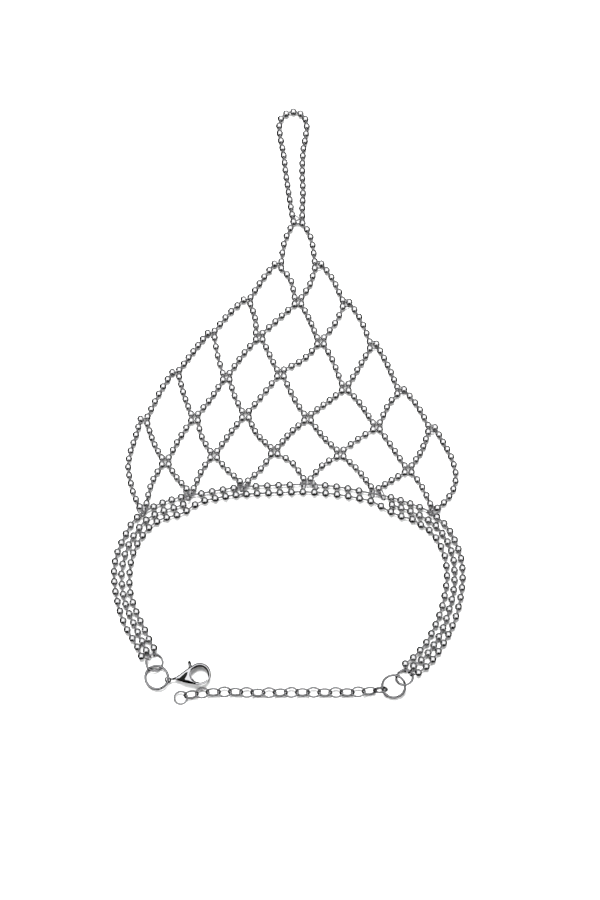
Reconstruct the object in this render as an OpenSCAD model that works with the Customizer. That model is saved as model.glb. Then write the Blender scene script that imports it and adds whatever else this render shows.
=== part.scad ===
// Hand chain bracelet, lying flat and unfastened: a finger loop and a net of ball chain for the
// back of the hand, a wrist band of three ball chain strands, and a lobster clasp with an extender.
// X runs across the hand, Y along it towards the finger, and the bracelet lies on the plane z = 0.

/* [Net and finger loop] */
// Diameter of a ball
net_ball_d = 1.5; // [1.3:0.05:1.6]
// Distance from ball to ball in the finger loop
loop_pitch = 1.8; // [1.76:0.02:2.2]
// Space between two chains where they lie side by side
meeting_gap = 0.14; // [0.1:0.02:0.3]
// Distance between a chain's two balls where it lies beside another
meeting_l = 1.6; // [1.4:0.04:1.72]

/* [Wrist band] */
// Diameter of a ball
band_ball_d = 1.6; // [1.4:0.05:1.6]
// Distance from ball to ball across the back of the wrist
band_pitch = 2.65; // [2.3:0.05:3]
// Distance from ball to ball down the two sides
arm_pitch = 2.4; // [2.2:0.05:2.8]

/* [Wire in the balls] */
// Diameter of the wire
thread_d = 0.46; // [0.3:0.02:0.5]
// Space round the wire in a ball's bore
thread_gap = 0.21; // [0.18:0.01:0.25]

/* [Hangers] */
// Outer diameter of the small rings that the net hangs on
hanger_d = 1.56; // [1.5:0.02:1.6]
// Their wire
hanger_wire_d = 0.3; // [0.26:0.02:0.3]

/* [Jump rings] */
// Outer diameter of a small ring
small_ring_d = 4.5; // [4.3:0.05:4.7]
// Wire of a small ring
small_wire_d = 0.48; // [0.4:0.02:0.5]
// Outer diameter of a large ring
large_ring_d = 6.1; // [5.9:0.05:6.3]
// Wire of a large ring
large_wire_d = 0.55; // [0.45:0.01:0.57]
// How much nearer the linked pairs lie than pulled tight, left pair
left_ring_slack = 0.64; // [0.56:0.02:0.7]
// How much nearer the linked pairs lie than pulled tight, right pair
right_ring_slack = 0.88; // [0.8:0.02:0.94]

/* [End loops] */
// Wire of the loops that hold the strands
end_loop_wire_d = 0.28; // [0.2:0.02:0.34]
// Space between a loop and what it holds
end_loop_gap = 0.11; // [0.1:0.01:0.14]

/* [Extender] */
// Outer length of a link
link_l = 3.66; // [3.5:0.02:3.8]
// Outer width of a link
link_w = 2.7; // [2.5:0.05:2.8]
// Wire of a link
link_wire_d = 0.42; // [0.34:0.02:0.44]
// How much nearer the links lie than pulled tight
link_slack = 0.15; // [0.12:0.01:0.3]
// Number of links before the round end link
link_count = 18; // [12:1:18]
// Outer diameter of the round end link
end_ring_d = 3.5; // [3.3:0.05:3.7]
// How far the first link reaches past the large ring's wire
link_reach = 1.3; // [1.1:0.05:1.4]

/* [Clasp] */
// Outer radius of the hook
hook_r = 2.65; // [2.55:0.05:2.75]
// Width of the hook's bar
hook_bar_w = 0.62; // [0.6:0.02:0.72]
// Height of the hook
hook_h = 1.8; // [1.6:0.05:2]
// Height of the body
clasp_h = 2.4; // [2.3:0.05:2.6]
// From the hook's centre back to the tail's end
tail_l = 5.95; // [5.8:0.05:6.3]
// Thickness of the lever
lever_h = 1; // [0.8:0.05:1.1]
// Space between the lever and the slot, above and below
slot_gap = 0.1; // [0.08:0.01:0.14]
// Radius of the pivot pin
pin_r = 0.3; // [0.25:0.01:0.34]
// Space round the pin in the lever
pin_gap = 0.06; // [0.05:0.01:0.09]
// From the pivot to the gate's end
gate_l = 4.6; // [4.5:0.02:4.64]
// Space between the gate's end and the hook's nose
nose_gap = 0.1; // [0.08:0.01:0.15]
// Wire of the tail's eye
eye_wire_d = 0.36; // [0.3:0.02:0.38]
// Space on each side of the large ring's wire in the eye
eye_gap = 0.12; // [0.1:0.01:0.16]
// Inner length of the eye
eye_l = 1.5; // [1.4:0.05:1.6]

/* [Hidden] */
// Turned shapes are round, a chain's tube has eight sides and the wire in the balls six
round_fn = 32;
tube_sides = 8;
wire_sides = 6;

// Colours of the plated metal
silver = [0.78, 0.78, 0.79];
bright = [0.86, 0.86, 0.87];
steel = [0.6, 0.6, 0.62];

// Points of a curve for each span of its route
tube_cuts = 2;
strand_cuts = 4;

// Where two chains of the net lie side by side, row by row from the finger to the wrist, [x, y]
ROW_1 = [[-2.6, 34], [7, 34]];
ROW_2 = [[-10, 25.4], [2.2, 25.4], [13.7, 24.8]];
ROW_3 = [[-18.6, 17.4], [-7.1, 16.9], [7.6, 15.8], [20.2, 14.8]];
ROW_4 = [[-27.1, 8], [-15, 7.3], [-2, 8.1], [13.5, 4.7], [26.8, 3.9]];
ROW_5 = [[-34.7, -3.2], [-22.6, -2.5], [-10.4, -1.8], [4.5, -2.5], [21, -4.6], [34.2, -5.2]];
ROW_6 = [[-29.6, -13], [-18, -11.4], [-3.5, -10.5], [12.3, -11.1], [28.6, -14.9]];

// Chains of the net: each runs through the meeting points, on their left or right, and through one
// point of its own between two of them, [x, y], with a third value where it meets another chain
meeting_reach = (net_ball_d + meeting_gap) / 2;
NET = [
  [
    [0.6, 43.3], [-1.1, 39.4], right_of(ROW_1[0]), [0.5, 30.4], left_of(ROW_2[1]), [-2.1, 21.5],
    right_of(ROW_3[1]), [-4.6, 12.5], left_of(ROW_4[2]), [-6.2, 3], right_of(ROW_5[2]), [-7.7, -6.4],
    left_of(ROW_6[2]), [-6.4, -14.5], [-9.8, -17.7]
  ],
  [
    [4.1, 43], [5.5, 39.8], left_of(ROW_1[1]), [5.1, 29.5], right_of(ROW_2[1]), [5, 20.9],
    left_of(ROW_3[2]), [3.7, 11.6], right_of(ROW_4[2]), [1, 2.5], left_of(ROW_5[3]), [0.3, -6.2],
    right_of(ROW_6[2]), [0.7, -13.2], [3.5, -17.1]
  ],
  [
    above_left(ROW_1[0]), [-6.4, 30.5], right_of(ROW_2[0]), [-8, 21], left_of(ROW_3[1]), [-11, 12.6],
    right_of(ROW_4[1]), [-13.1, 2.9], left_of(ROW_5[2]), [-14.2, -6.4], right_of(ROW_6[1]),
    [-14.8, -15], [-11.7, -17.8]
  ],
  [
    above_right(ROW_1[1]), [10.6, 30.5], left_of(ROW_2[2]), [11.3, 20.4], right_of(ROW_3[2]), [10.5, 11.2],
    left_of(ROW_4[3]), [9.5, 1.4], right_of(ROW_5[3]), [8.2, -7.1], left_of(ROW_6[3]), [8.2, -13.8],
    [5.2, -17.2]
  ],
  [
    above_left(ROW_2[0]), [-14.5, 22.2], right_of(ROW_3[0]), [-17.2, 12.8], left_of(ROW_4[1]),
    [-18.4, 2.5], right_of(ROW_5[1]), [-20.9, -7.1], left_of(ROW_6[1]), [-20.9, -15.2], [-22.8, -19.5]
  ],
  [
    above_right(ROW_2[2]), [17.3, 20.8], left_of(ROW_3[3]), [17.2, 10.2], right_of(ROW_4[3]), [17.2, 0.7],
    left_of(ROW_5[4]), [16.7, -7.6], right_of(ROW_6[3]), [16.4, -14.9], [19.7, -19.1]
  ],
  [
    above_left(ROW_3[0]), [-22.9, 13.3], right_of(ROW_4[0]), [-25.1, 2.8], left_of(ROW_5[1]),
    [-26.3, -7.6], right_of(ROW_6[0]), [-27.1, -16.6], [-24.5, -19.6]
  ],
  [
    above_right(ROW_3[3]), [23.8, 9.8], left_of(ROW_4[4]), [23.8, 0.5], right_of(ROW_5[4]), [24.5, -9.2],
    left_of(ROW_6[4]), [24.9, -17.4], [21.5, -19.5]
  ],
  [
    above_left(ROW_4[0]), [-30.9, 3.6], right_of(ROW_5[0]), [-32.5, -8.3], left_of(ROW_6[0]),
    [-32.9, -18.2], [-34.1, -23.1]
  ],
  [
    above_right(ROW_4[4]), [30.9, 0.2], left_of(ROW_5[5]), [31.9, -10.2], right_of(ROW_6[4]),
    [31.7, -18.7], [33.9, -23.2]
  ],
  [
    above_left(ROW_5[0]), [-36.9, -7.6], [-38.1, -11.2], [-38.5, -14.5], [-38, -17.6], [-37.2, -20.8],
    [-35.7, -23.9]
  ],
  [
    above_right(ROW_5[5]), [36.9, -8.3], [38.7, -11.5], [39.8, -14.8], [40, -17.4], [39.2, -20.2],
    [37.5, -22.6], [35.6, -24.2]
  ]
];

// Route of the finger loop, from the net up the left side and down the right, [x, y]
LOOP = [
  [1.1, 44.3], [0.4, 48.4], [-0.6, 55.1], [-1.3, 60.8], [-2, 64.4], [-2.3, 67.1], [-1.9, 69],
  [-0.7, 70.2], [1, 70.7], [2.7, 70.3], [3.9, 69.1], [4.3, 67.1], [3.9, 64.2], [3.4, 61.1], [3.2, 56.3],
  [3.4, 51.5], [3.2, 47.6], [3.3, 44]
];

// Routes of the band's strands between their end loops, [x, y]: first up the left side, then across
// the back of the wrist, then down the right side
UPPER_LEFT = [
  [-36.5, -57.1], [-38.9, -53.1], [-40.4, -49.2], [-41.5, -44.6], [-41.9, -39.9], [-41.3, -35.5],
  [-39.3, -30.9], [-37.2, -27.3]
];
UPPER_MIDDLE = [
  [-34.4, -25.1], [-30.5, -23.1], [-26, -21.7], [-23.5, -21.3], [-18.5, -20.3], [-13.4, -19.5],
  [-10.6, -19.2], [-5, -18.9], [0.4, -18.7], [3, -18.6], [6, -18.7], [9.3, -18.9], [14.3, -19.6],
  [19.5, -20.7], [22.1, -21.2], [24.5, -21.7], [28.9, -23.1], [33.6, -25]
];
UPPER_RIGHT = [
  [35.2, -26.2], [37, -27.7], [38.7, -29.9], [40.7, -34.2], [41.6, -38.6], [41.5, -43.3], [40.7, -47.8],
  [39.5, -51.8], [37.3, -56.3], [34.6, -60.4], [32.9, -62.3]
];
LOWER_LEFT = [
  [-33.4, -55.9], [-34.4, -53.6], [-35.5, -51.4], [-36.5, -49.2], [-37.3, -47], [-37.9, -45.1],
  [-38.2, -40.9], [-37.7, -36.4], [-36.7, -33.7], [-35.6, -31.7], [-34.5, -30.1], [-33.1, -28.6]
];
LOWER_MIDDLE = [
  [-31.6, -27.5], [-29.8, -26.7], [-27.8, -26.2], [-25.7, -25.6], [-24.3, -24.8], [-23, -23.8],
  [-21.1, -22.8], [-18.4, -22.1], [-13.1, -21.2], [-7.6, -20.8], [-2.3, -20.6], [2.9, -20.4],
  [8.1, -20.65], [13.5, -21.3], [18.9, -22.4], [21.2, -23.3], [23.2, -24.5], [25.3, -25.6],
  [27.4, -26.4], [29.6, -27]
];
LOWER_RIGHT = [
  [31.7, -28.3], [33.6, -29.5], [35.2, -31.3], [36.4, -33.4], [37.3, -35.5], [37.7, -37.6],
  [37.9, -40], [37.8, -42], [37.5, -44.3], [37.1, -46.4], [36.5, -48.7], [35.7, -50.9], [34.7, -53.2],
  [33.7, -55.2], [32.5, -57.1], [31.1, -58.7], [29.7, -60.2]
];
THIRD_LEFT = [
  [-35.3, -55.8], [-36.5, -53.4], [-37.5, -51.2], [-38.5, -49], [-39.25, -46.8], [-39.75, -44.6],
  [-40, -42.3], [-40.1, -40.2], [-39.8, -37.7], [-39.1, -34.8], [-38.05, -32.45], [-37.2, -30.95],
  [-36.05, -29.2], [-34.3, -27.25], [-32.3, -25.95], [-30, -24.9], [-27.5, -24.2], [-25.3, -23.4]
];
THIRD_RIGHT = [
  [24.7, -23.5], [27.1, -24.3], [29.25, -25.1], [31.5, -26.1], [33.35, -27.1], [35.1, -28.35],
  [36.6, -30.1], [37.9, -32.1], [38.8, -34.2], [39.5, -36.8], [39.7, -39.2], [39.7, -41.7], [39.4, -44.6],
  [38.8, -47.2], [38.1, -49.7], [37.4, -51.8], [36.5, -54], [35.3, -56.2], [33.8, -58.4], [32.3, -60.2]
];

// Where a small ring takes the place of a ball in the upper strand, for the net to hang on: [x, y, turn]
HANGERS = [
  [-34.4, -25.1, 88], [-23.5, -21.3, 74], [-10.6, -19.2, 66], [3, -18.6, 118], [6, -18.7, 60],
  [19.5, -20.7, 50], [22.1, -21.2, 108], [33.6, -25, 38]
];

// Route of the extender from its first link to past its free end, [x, y]
EXTENDER = [
  [21.8, -67.8], [14.6, -68.4], [3, -68.4], [-7.6, -68.5], [-13.5, -68.3], [-18.9, -68.4], [-21.6, -68.7],
  [-24, -69.1], [-26.5, -70], [-29.5, -71.6]
];

function left_of(p) = [p[0] - meeting_reach, p[1], meeting_l];
function right_of(p) = [p[0] + meeting_reach, p[1], meeting_l];
function above_left(p) = [p[0] - meeting_reach, p[1] + 0.3];
function above_right(p) = [p[0] + meeting_reach, p[1] + 0.3];

// Half the straight stretch that a chain makes at a point of its route
function half_stretch(p) = len(p) == 3 ? p[2] / 2 : 0;

// A chain's route cut at its meeting points, from below each to above the next
function spans(route) =
  let (last = len(route) - 1, ends = [for (i = [0 : last]) if (i == 0 || i == last || len(route[i]) == 3) i])
  [
    for (j = [0 : len(ends) - 2]) [
      for (i = [ends[j] : ends[j + 1]])
        let (
          at_end = i == ends[j + 1],
          at_start = i == ends[j] && i > 0,
          rise = at_end ? half_stretch(route[i]) : at_start ? -half_stretch(route[i]) : 0
        )
          [route[i][0], route[i][1] + rise]
    ]
  ];

// Smooth curve through a route, with a number of cuts to each span
function curve(route, cuts) = [
  for (i = [0 : len(route) - 2], k = [0 : cuts - 1])
    let (
      a = route[max(i - 1, 0)],
      b = route[i],
      c = route[i + 1],
      d = route[min(i + 2, len(route) - 1)],
      u = k / cuts
    )
      b + u * ((c - a) / 2 + u * ((a - 2.5 * b + 2 * c - d / 2) + u * (1.5 * b - 1.5 * c + (d - a) / 2))),
  route[len(route) - 1]
];

// Distance along a path at each of its points
function distances(path) = [
  for (
    i = 0, s = 0;
    i < len(path);
    s = i + 1 < len(path) ? s + norm(path[i + 1] - path[i]) : s, i = i + 1
  ) s
];

// Point at a distance along a path, from the path and its list of distances
function along(path, s, at) = [
  for (axis = [0, 1]) lookup(at, [for (i = [0 : len(path) - 1]) [s[i], path[i][axis]]])
];

// Direction of a path at a distance along it, in degrees
look = 0.2;
function heading(path, s, at) =
  let (step = along(path, s, at + look) - along(path, s, at - look)) atan2(step[1], step[0]);

// Distances of the balls along a path: marks are the places in the route where the pitch changes
function stops(s, marks, pitches, cuts) = [
  for (j = [0 : len(pitches) - 1])
    let (
      from = s[marks[j] * cuts],
      to = s[marks[j + 1] * cuts],
      count = round((to - from) / pitches[j])
    )
      for (k = [0 : count - 1]) from + k * (to - from) / count,
  s[len(s) - 1]
];

// Whether a hanger takes a ball's place
function hanger_at(p) = min([for (h = HANGERS) norm(p - [h[0], h[1]])]) < 0.4;

// Unit vector in the plane
function unit(angle) = [cos(angle), sin(angle)];

// A ring's wire at angle t: a ring is [x, y, z, direction of the axis it is tipped about, tilt]
function ring_wire(ring, r, t) =
  let (across = r * sin(t) * cos(ring[4]), ahead = r * cos(t), turn = ring[3])
  [
    ring[0] + ahead * cos(turn) - across * sin(turn),
    ring[1] + ahead * sin(turn) + across * cos(turn),
    ring[2] + r * sin(t) * sin(ring[4])
  ];

// Heading in plan of the ring's wire at angle t, and its slope
function wire_heading(ring, t) = ring[3] + atan2(cos(t) * cos(ring[4]), -sin(t));
function wire_slope(ring, t) = acos(cos(t) * sin(ring[4]));

small_r = (small_ring_d - small_wire_d) / 2;
large_r = (large_ring_d - large_wire_d) / 2;
tight = small_r + large_r - (small_wire_d + large_wire_d) / 2;

// The loops at the strands' ends: each closes round the small ring's wire
end_loop_r = small_wire_d / 2 + end_loop_gap + end_loop_wire_d / 2;
end_loop_reach = end_loop_r + end_loop_wire_d / 2;

// Left pair of rings: the small one rests on the surface with its outer side up
LEFT_SMALL_AT = [-32.2, -61.3];
left_turn = 99;
left_small_tilt = 16.3;
left_large_tilt = -8;
left_z = small_wire_d / 2 + small_r * sin(left_small_tilt);
left_large_at = LEFT_SMALL_AT - (tight - left_ring_slack) * unit(left_turn);
left_small = [LEFT_SMALL_AT[0], LEFT_SMALL_AT[1], left_z, left_turn, left_small_tilt];
left_large = [left_large_at[0], left_large_at[1], left_z, left_turn, left_large_tilt];

// Right pair of rings: the small one leans on the end loops, the large one on the first link
RIGHT_SMALL_AT = [27.7, -64.8];
right_pair_turn = 40.2;
right_small_tilt = -34;
right_small_turn = 18;
right_large_tilt = 12;
right_large_turn = -10;
hold_angle = 198;
right_large_at = RIGHT_SMALL_AT - (tight - right_ring_slack) * unit(right_pair_turn);
right_small = [
  RIGHT_SMALL_AT[0], RIGHT_SMALL_AT[1], end_loop_reach - small_r * sin(right_small_tilt),
  right_small_turn, right_small_tilt
];
right_large = [
  right_large_at[0], right_large_at[1],
  link_wire_d + large_wire_d / 2 + large_r * sin(right_large_tilt), right_large_turn, right_large_tilt
];

// Where the end loops sit on the small rings, in degrees round the ring: upper, third and lower strand
LEFT_LOOPS = [55, 25, -7];
RIGHT_LOOPS = [0, 33, 69];

// Centre of a strand's last ball, which stands just outside its end loop
function last_ball(ring, t) =
  let (wire = ring_wire(ring, small_r, t), out = wire_heading(ring, t) - 90)
  [wire[0], wire[1]] + (end_loop_reach + end_loop_gap + band_ball_d / 2) * unit(out);

// The four strands of the band: route, marks and pitches
upper = concat(
  [last_ball(left_small, LEFT_LOOPS[0])], UPPER_LEFT, UPPER_MIDDLE, UPPER_RIGHT,
  [last_ball(right_small, RIGHT_LOOPS[0])]
);
upper_middle = len(UPPER_LEFT) + 1;
upper_marks = [
  0, upper_middle, upper_middle + 3, upper_middle + 6, upper_middle + 9, upper_middle + 10,
  upper_middle + 13, upper_middle + 14, upper_middle + 17, len(upper) - 1
];
upper_pitches = [arm_pitch, arm_pitch, for (i = [1 : 5]) band_pitch, arm_pitch, arm_pitch];
lower = concat(
  [last_ball(left_small, LEFT_LOOPS[2])], LOWER_LEFT, LOWER_MIDDLE, LOWER_RIGHT,
  [last_ball(right_small, RIGHT_LOOPS[2])]
);
lower_middle = len(LOWER_LEFT) + 1;
lower_marks = [0, lower_middle, lower_middle + 9, lower_middle + len(LOWER_MIDDLE) - 1, len(lower) - 1];
lower_pitches = [arm_pitch, band_pitch, band_pitch, arm_pitch];
third_left = concat([last_ball(left_small, LEFT_LOOPS[1])], THIRD_LEFT);
third_right = concat(THIRD_RIGHT, [last_ball(right_small, RIGHT_LOOPS[1])]);

bore_d = thread_d + 2 * thread_gap;

// Extender: the first link hangs on the left side of the right large ring
extender_hold = ring_wire(right_large, large_r, hold_angle - right_large_turn);
link_pitch = link_l - 2 * link_wire_d - link_slack;
end_pitch = (link_l + end_ring_d) / 2 - 2 * link_wire_d - link_slack;
extender_route = concat([[extender_hold[0] + link_reach - link_l / 2, extender_hold[1]]], [
  for (i = [1 : len(EXTENDER) - 1]) EXTENDER[i]
]);
flat_roll = 14;
steep_roll = -46;
first_roll = 66;
end_roll = 16;
extender_z = link_wire_d / 2 + (link_w - link_wire_d) / 2 * sin(first_roll);

// Clasp, seen from above with the hook's centre at the origin and the tail towards -x
clasp_turn = 10.5;
eye_at = -11;
pivot = [-2.9, -0.3];
hub_r = 0.75;
hub_gap = 0.2;
nose_angle = -58;
cheek_angle = -106;
gate_root = -152;
gate_inset = 0.05;
hole_r = hook_r - hook_bar_w;
slot_h = lever_h + 2 * slot_gap;
eye_w = large_wire_d + 2 * eye_gap + 2 * eye_wire_d;
eye_tilt = 45;
eye_turn = -16;
pocket_floor = 0.86;
neck_d = 0.6;
neck_l = 1.45;
large_loop = ring_wire(left_large, large_r, eye_at - left_turn);
clasp_z = clasp_h / 2;

function numbered(name, i) = str(name, i < 10 ? "0" : "", i);

// Tube with a given number of flats along a path that lies in one level
module tube(path, level, r, sides) {
  last = len(path) - 1;
  corners = [
    for (i = [0 : last])
      let (step = path[min(i + 1, last)] - path[max(i - 1, 0)], turn = atan2(step[1], step[0]) + 90)
        for (j = [0 : sides - 1])
          let (a = (j + 0.5) * 360 / sides, side = r * cos(a) * unit(turn))
            [path[i][0] + side[0], path[i][1] + side[1], level + r * sin(a)]
  ];
  walls = [
    for (i = [0 : last - 1], j = [0 : sides - 1])
      let (k = (j + 1) % sides)
        [i * sides + j, (i + 1) * sides + j, (i + 1) * sides + k, i * sides + k]
  ];
  ends = [[for (j = [0 : sides - 1]) j], [for (j = [sides - 1 : -1 : 0]) last * sides + j]];
  polyhedron(corners, concat(walls, ends));
}

// Ball with a bore along the strand
module drilled_ball(d) {
  rotate([0, 90, 0])
    rotate_extrude($fn = round_fn)
      difference() {
        circle(d = d, $fn = round_fn);
        translate([-d, -d]) square([d + bore_d / 2, 2 * d]);
      }
}

// Balls of a strand
module balls(route, marks, pitches, d) {
  path = curve(route, strand_cuts);
  s = distances(path);
  for (at = stops(s, marks, pitches, strand_cuts)) {
    centre = along(path, s, at);
    if (!hanger_at(centre))
      translate([centre[0], centre[1], d / 2]) rotate([0, 0, heading(path, s, at)]) drilled_ball(d);
  }
}

// Rings that the net hangs on, each round the upper strand's wire
module net_hangers() {
  color(bright)
    for (h = HANGERS)
      translate([h[0], h[1], band_ball_d / 2])
        rotate([0, 0, h[2]])
          rotate([90, 0, 0])
            torus((hanger_d - hanger_wire_d) / 2, hanger_wire_d);
}

// Wire of a strand, with a ring of corners in each ball and between each two
module wire(route, marks, pitches, d) {
  path = curve(route, strand_cuts);
  s = distances(path);
  at = stops(s, marks, pitches, strand_cuts);
  halves = [
    for (i = [0 : len(at) - 2], k = [0, 1]) at[i] + k * (at[i + 1] - at[i]) / 2,
    at[len(at) - 1]
  ];
  tube([for (h = halves) along(path, s, h)], d / 2, thread_d / 2, wire_sides);
}

// Chain of the net as one tube, as thick as its balls
module net_chain(i) {
  path = [for (span = spans(NET[i - 1])) each curve(span, tube_cuts)];
  color(silver) tube(path, net_ball_d / 2, net_ball_d / 2 / cos(180 / tube_sides), tube_sides);
}

module torus(r, wire_d) {
  rotate_extrude($fn = 2 * round_fn) translate([r, 0]) circle(d = wire_d, $fn = round_fn);
}

module place_ring(ring) {
  translate([ring[0], ring[1], ring[2]]) rotate([0, 0, ring[3]]) rotate([ring[4], 0, 0]) children();
}

module small_ring(ring) {
  color(bright) place_ring(ring) torus(small_r, small_wire_d);
}

module large_ring(ring) {
  color(bright) place_ring(ring) torus(large_r, large_wire_d);
}

// Three loops round a small ring's wire
module end_loops(ring, turns) {
  color(silver)
    for (t = turns)
      translate(ring_wire(ring, small_r, t))
        rotate([0, 0, wire_heading(ring, t)])
          rotate([0, wire_slope(ring, t), 0])
            torus(end_loop_r, end_loop_wire_d);
}

// Link with straight sides and round ends, lying along x
module link(l, w, wire_d) {
  r = (w - wire_d) / 2;
  straight = l - w;
  for (end = [0, 180])
    rotate([0, 0, end])
      translate([straight / 2, 0, 0])
        rotate([0, 0, -90])
          rotate_extrude(angle = 180, $fn = 2 * round_fn)
            translate([r, 0]) circle(d = wire_d, $fn = round_fn);
  for (side = [-1, 1])
    translate([0, side * r, 0])
      rotate([0, 90, 0])
        cylinder(d = wire_d, h = straight, center = true, $fn = round_fn);
}

// Puts a piece of the extender on its route, rolled about the route
module place_link(at, roll) {
  path = curve(extender_route, strand_cuts);
  s = distances(path);
  centre = along(path, s, at);
  translate([centre[0], centre[1], extender_z])
    rotate([0, 0, heading(path, s, at)])
      rotate([roll, 0, 0])
        children();
}

module extender_link(i) {
  roll = i == 1 ? first_roll : i % 2 == 0 ? steep_roll : flat_roll;
  color(bright) place_link((i - 1) * link_pitch, roll) link(link_l, link_w, link_wire_d);
}

module extender_end_ring() {
  color(bright)
    place_link((link_count - 1) * link_pitch + end_pitch, end_roll)
      torus((end_ring_d - link_wire_d) / 2, link_wire_d);
}

// Sector of the plane between two angles, out to r
module sector(from, to, r) {
  steps = 8;
  polygon(concat([[0, 0]], [for (k = [0 : steps]) r * unit(from + k * (to - from) / steps)]));
}

// Plan of the clasp's body: a teardrop that opens into the hook
module body_plan() {
  difference() {
    union() {
      circle(r = hook_r, $fn = round_fn);
      polygon([
        [-tail_l, -0.3], [-5, -0.75], [-4, -1.3], [-2.6, -1.85], [-1.2, 0.98 - hook_r - 0.7],
        [0, 0], [-1.2, hook_r - 0.28], [-2.8, 1.72], [-4, 1.15], [-5, 0.66], [-tail_l, 0.3]
      ]);
    }
    circle(r = hole_r, $fn = round_fn);
    translate([-0.4, 0]) circle(r = hole_r - 0.15, $fn = round_fn);
    sector(cheek_angle, nose_angle, 2 * hook_r);
  }
}

// Shallow pocket in each face of the clasp's body, inside the rim along its upper edge
module pocket_plan() {
  polygon([
    [-5.1, -0.2], [-3.25, 0.95], [-2.75, 1.05], [-3.1, 0.3], [-3.75, -0.4], [-3.5, -1.2], [-4.3, -0.8]
  ]);
}

// Side of the clasp's body: thick at the pivot, thinner at the hook and the tail
module body_side() {
  polygon([
    [-tail_l, -0.5], [-4.6, -1], [-3.4, -clasp_h / 2], [-1.6, -clasp_h / 2], [0, -hook_h / 2],
    [hook_r, -hook_h / 2], [hook_r, hook_h / 2], [0, hook_h / 2], [-1.6, clasp_h / 2],
    [-3.4, clasp_h / 2], [-4.6, 1], [-tail_l, 0.5]
  ]);
}

// Room for the lever inside the body, at rest and open
module slot_plan() {
  translate(pivot) circle(r = hub_r + hub_gap, $fn = round_fn);
  polygon([[-3.85, -0.3], [-4, 3.6], [-1.45, 3.6], [-1.45, 2], [-1.9, 0.4], [-2.2, -0.3]]);
  difference() {
    sector(-164, cheek_angle + 10, 2 * hook_r);
    circle(r = hole_r - 0.3, $fn = round_fn);
  }
}

module place_clasp() {
  reach = tail_l + neck_l - 0.2 + (eye_w - eye_wire_d) / 2;
  translate([large_loop[0], large_loop[1], clasp_z])
    rotate([0, 0, clasp_turn])
      translate([reach, 0, 0])
        children();
}

// Eye at the tail, which the left large ring runs through
module tail_eye() {
  reach = tail_l + neck_l - 0.2 + (eye_w - eye_wire_d) / 2;
  translate([-reach, 0, large_loop[2] - clasp_z])
    rotate([0, 0, eye_turn])
      rotate([eye_tilt, 0, 0])
        rotate([0, 0, 90])
            link(eye_l + 2 * eye_wire_d, eye_w, eye_wire_d);
  translate([-tail_l - neck_l + 0.2, 0, 0])
    rotate([0, 90, 0])
      cylinder(d = neck_d, h = neck_l, $fn = round_fn);
}

module clasp_body() {
  color(steel) place_clasp() {
    difference() {
      intersection() {
        linear_extrude(clasp_h, center = true) body_plan();
        rotate([90, 0, 0]) linear_extrude(4 * hook_r, center = true) body_side();
      }
      linear_extrude(slot_h, center = true) slot_plan();
      for (face = [0, 180])
        rotate([face, 0, 0])
          translate([0, 0, pocket_floor])
            linear_extrude(clasp_h)
              scale([1, face == 0 ? 1 : -1])
                pocket_plan();
      intersection() {
        translate([pivot[0], pivot[1], 0])
          cylinder(r = gate_l + nose_gap, h = 2 * clasp_h, center = true, $fn = 4 * round_fn);
        linear_extrude(2 * clasp_h, center = true) sector(-70, -5, 2 * hook_r);
      }
    }
    translate([pivot[0], pivot[1], 0]) cylinder(r = pin_r, h = clasp_h, center = true, $fn = round_fn);
    tail_eye();
  }
}

module lever_plate() {
  linear_extrude(lever_h, center = true) children();
}

// Lever: hub, thumb tab and curved gate
module clasp_lever() {
  root = unit(gate_root + 8);
  color(steel)
    place_clasp()
      difference() {
        union() {
          translate([pivot[0], pivot[1], 0]) cylinder(r = hub_r, h = lever_h, center = true, $fn = round_fn);
          lever_plate()
            polygon([
              [-3.3, 0.3], [-3.1, -0.95], (hook_r - gate_inset) * root, (hole_r + gate_inset) * root,
              [-2.2, -0.1], [-1.6, 2], [-1.6, 3.2], [-2.3, 3.2], [-2.3, 2.2]
            ]);
          translate([-1.95, 3.2, 0]) cylinder(r = 0.35, h = lever_h, center = true, $fn = round_fn);
          intersection() {
            lever_plate()
              difference() {
                circle(r = hook_r - gate_inset, $fn = round_fn);
                circle(r = hole_r + gate_inset, $fn = round_fn);
              }
            lever_plate() sector(gate_root, nose_angle / 2, 2 * hook_r);
            translate([pivot[0], pivot[1], 0])
              cylinder(r = gate_l, h = lever_h, center = true, $fn = 4 * round_fn);
          }
        }
        translate([pivot[0], pivot[1], 0])
          cylinder(r = pin_r + pin_gap, h = 2 * lever_h, center = true, $fn = round_fn);
      }
}

module strand_balls(route, marks, pitches) {
  color(silver) balls(route, marks, pitches, band_ball_d);
}

module strand_wire(route, marks, pitches) {
  color(steel) wire(route, marks, pitches, band_ball_d);
}

color(silver) balls(LOOP, [0, len(LOOP) - 1], [loop_pitch], net_ball_d);  // finger_loop_balls
color(steel) wire(LOOP, [0, len(LOOP) - 1], [loop_pitch], net_ball_d);  // finger_loop_wire
for (i = [1 : len(NET)])
  net_chain(i);
strand_balls(upper, upper_marks, upper_pitches);  // band_upper_balls
strand_wire(upper, upper_marks, upper_pitches);  // band_upper_wire
strand_balls(lower, lower_marks, lower_pitches);  // band_lower_balls
strand_wire(lower, lower_marks, lower_pitches);  // band_lower_wire
strand_balls(third_left, [0, len(third_left) - 1], [arm_pitch]);  // band_left_balls
strand_wire(third_left, [0, len(third_left) - 1], [arm_pitch]);  // band_left_wire
strand_balls(third_right, [0, len(third_right) - 1], [arm_pitch]);  // band_right_balls
strand_wire(third_right, [0, len(third_right) - 1], [arm_pitch]);  // band_right_wire
net_hangers();
end_loops(left_small, LEFT_LOOPS);  // left_end_loops
end_loops(right_small, RIGHT_LOOPS);  // right_end_loops
small_ring(left_small);  // left_small_ring
large_ring(left_large);  // left_large_ring
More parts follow.
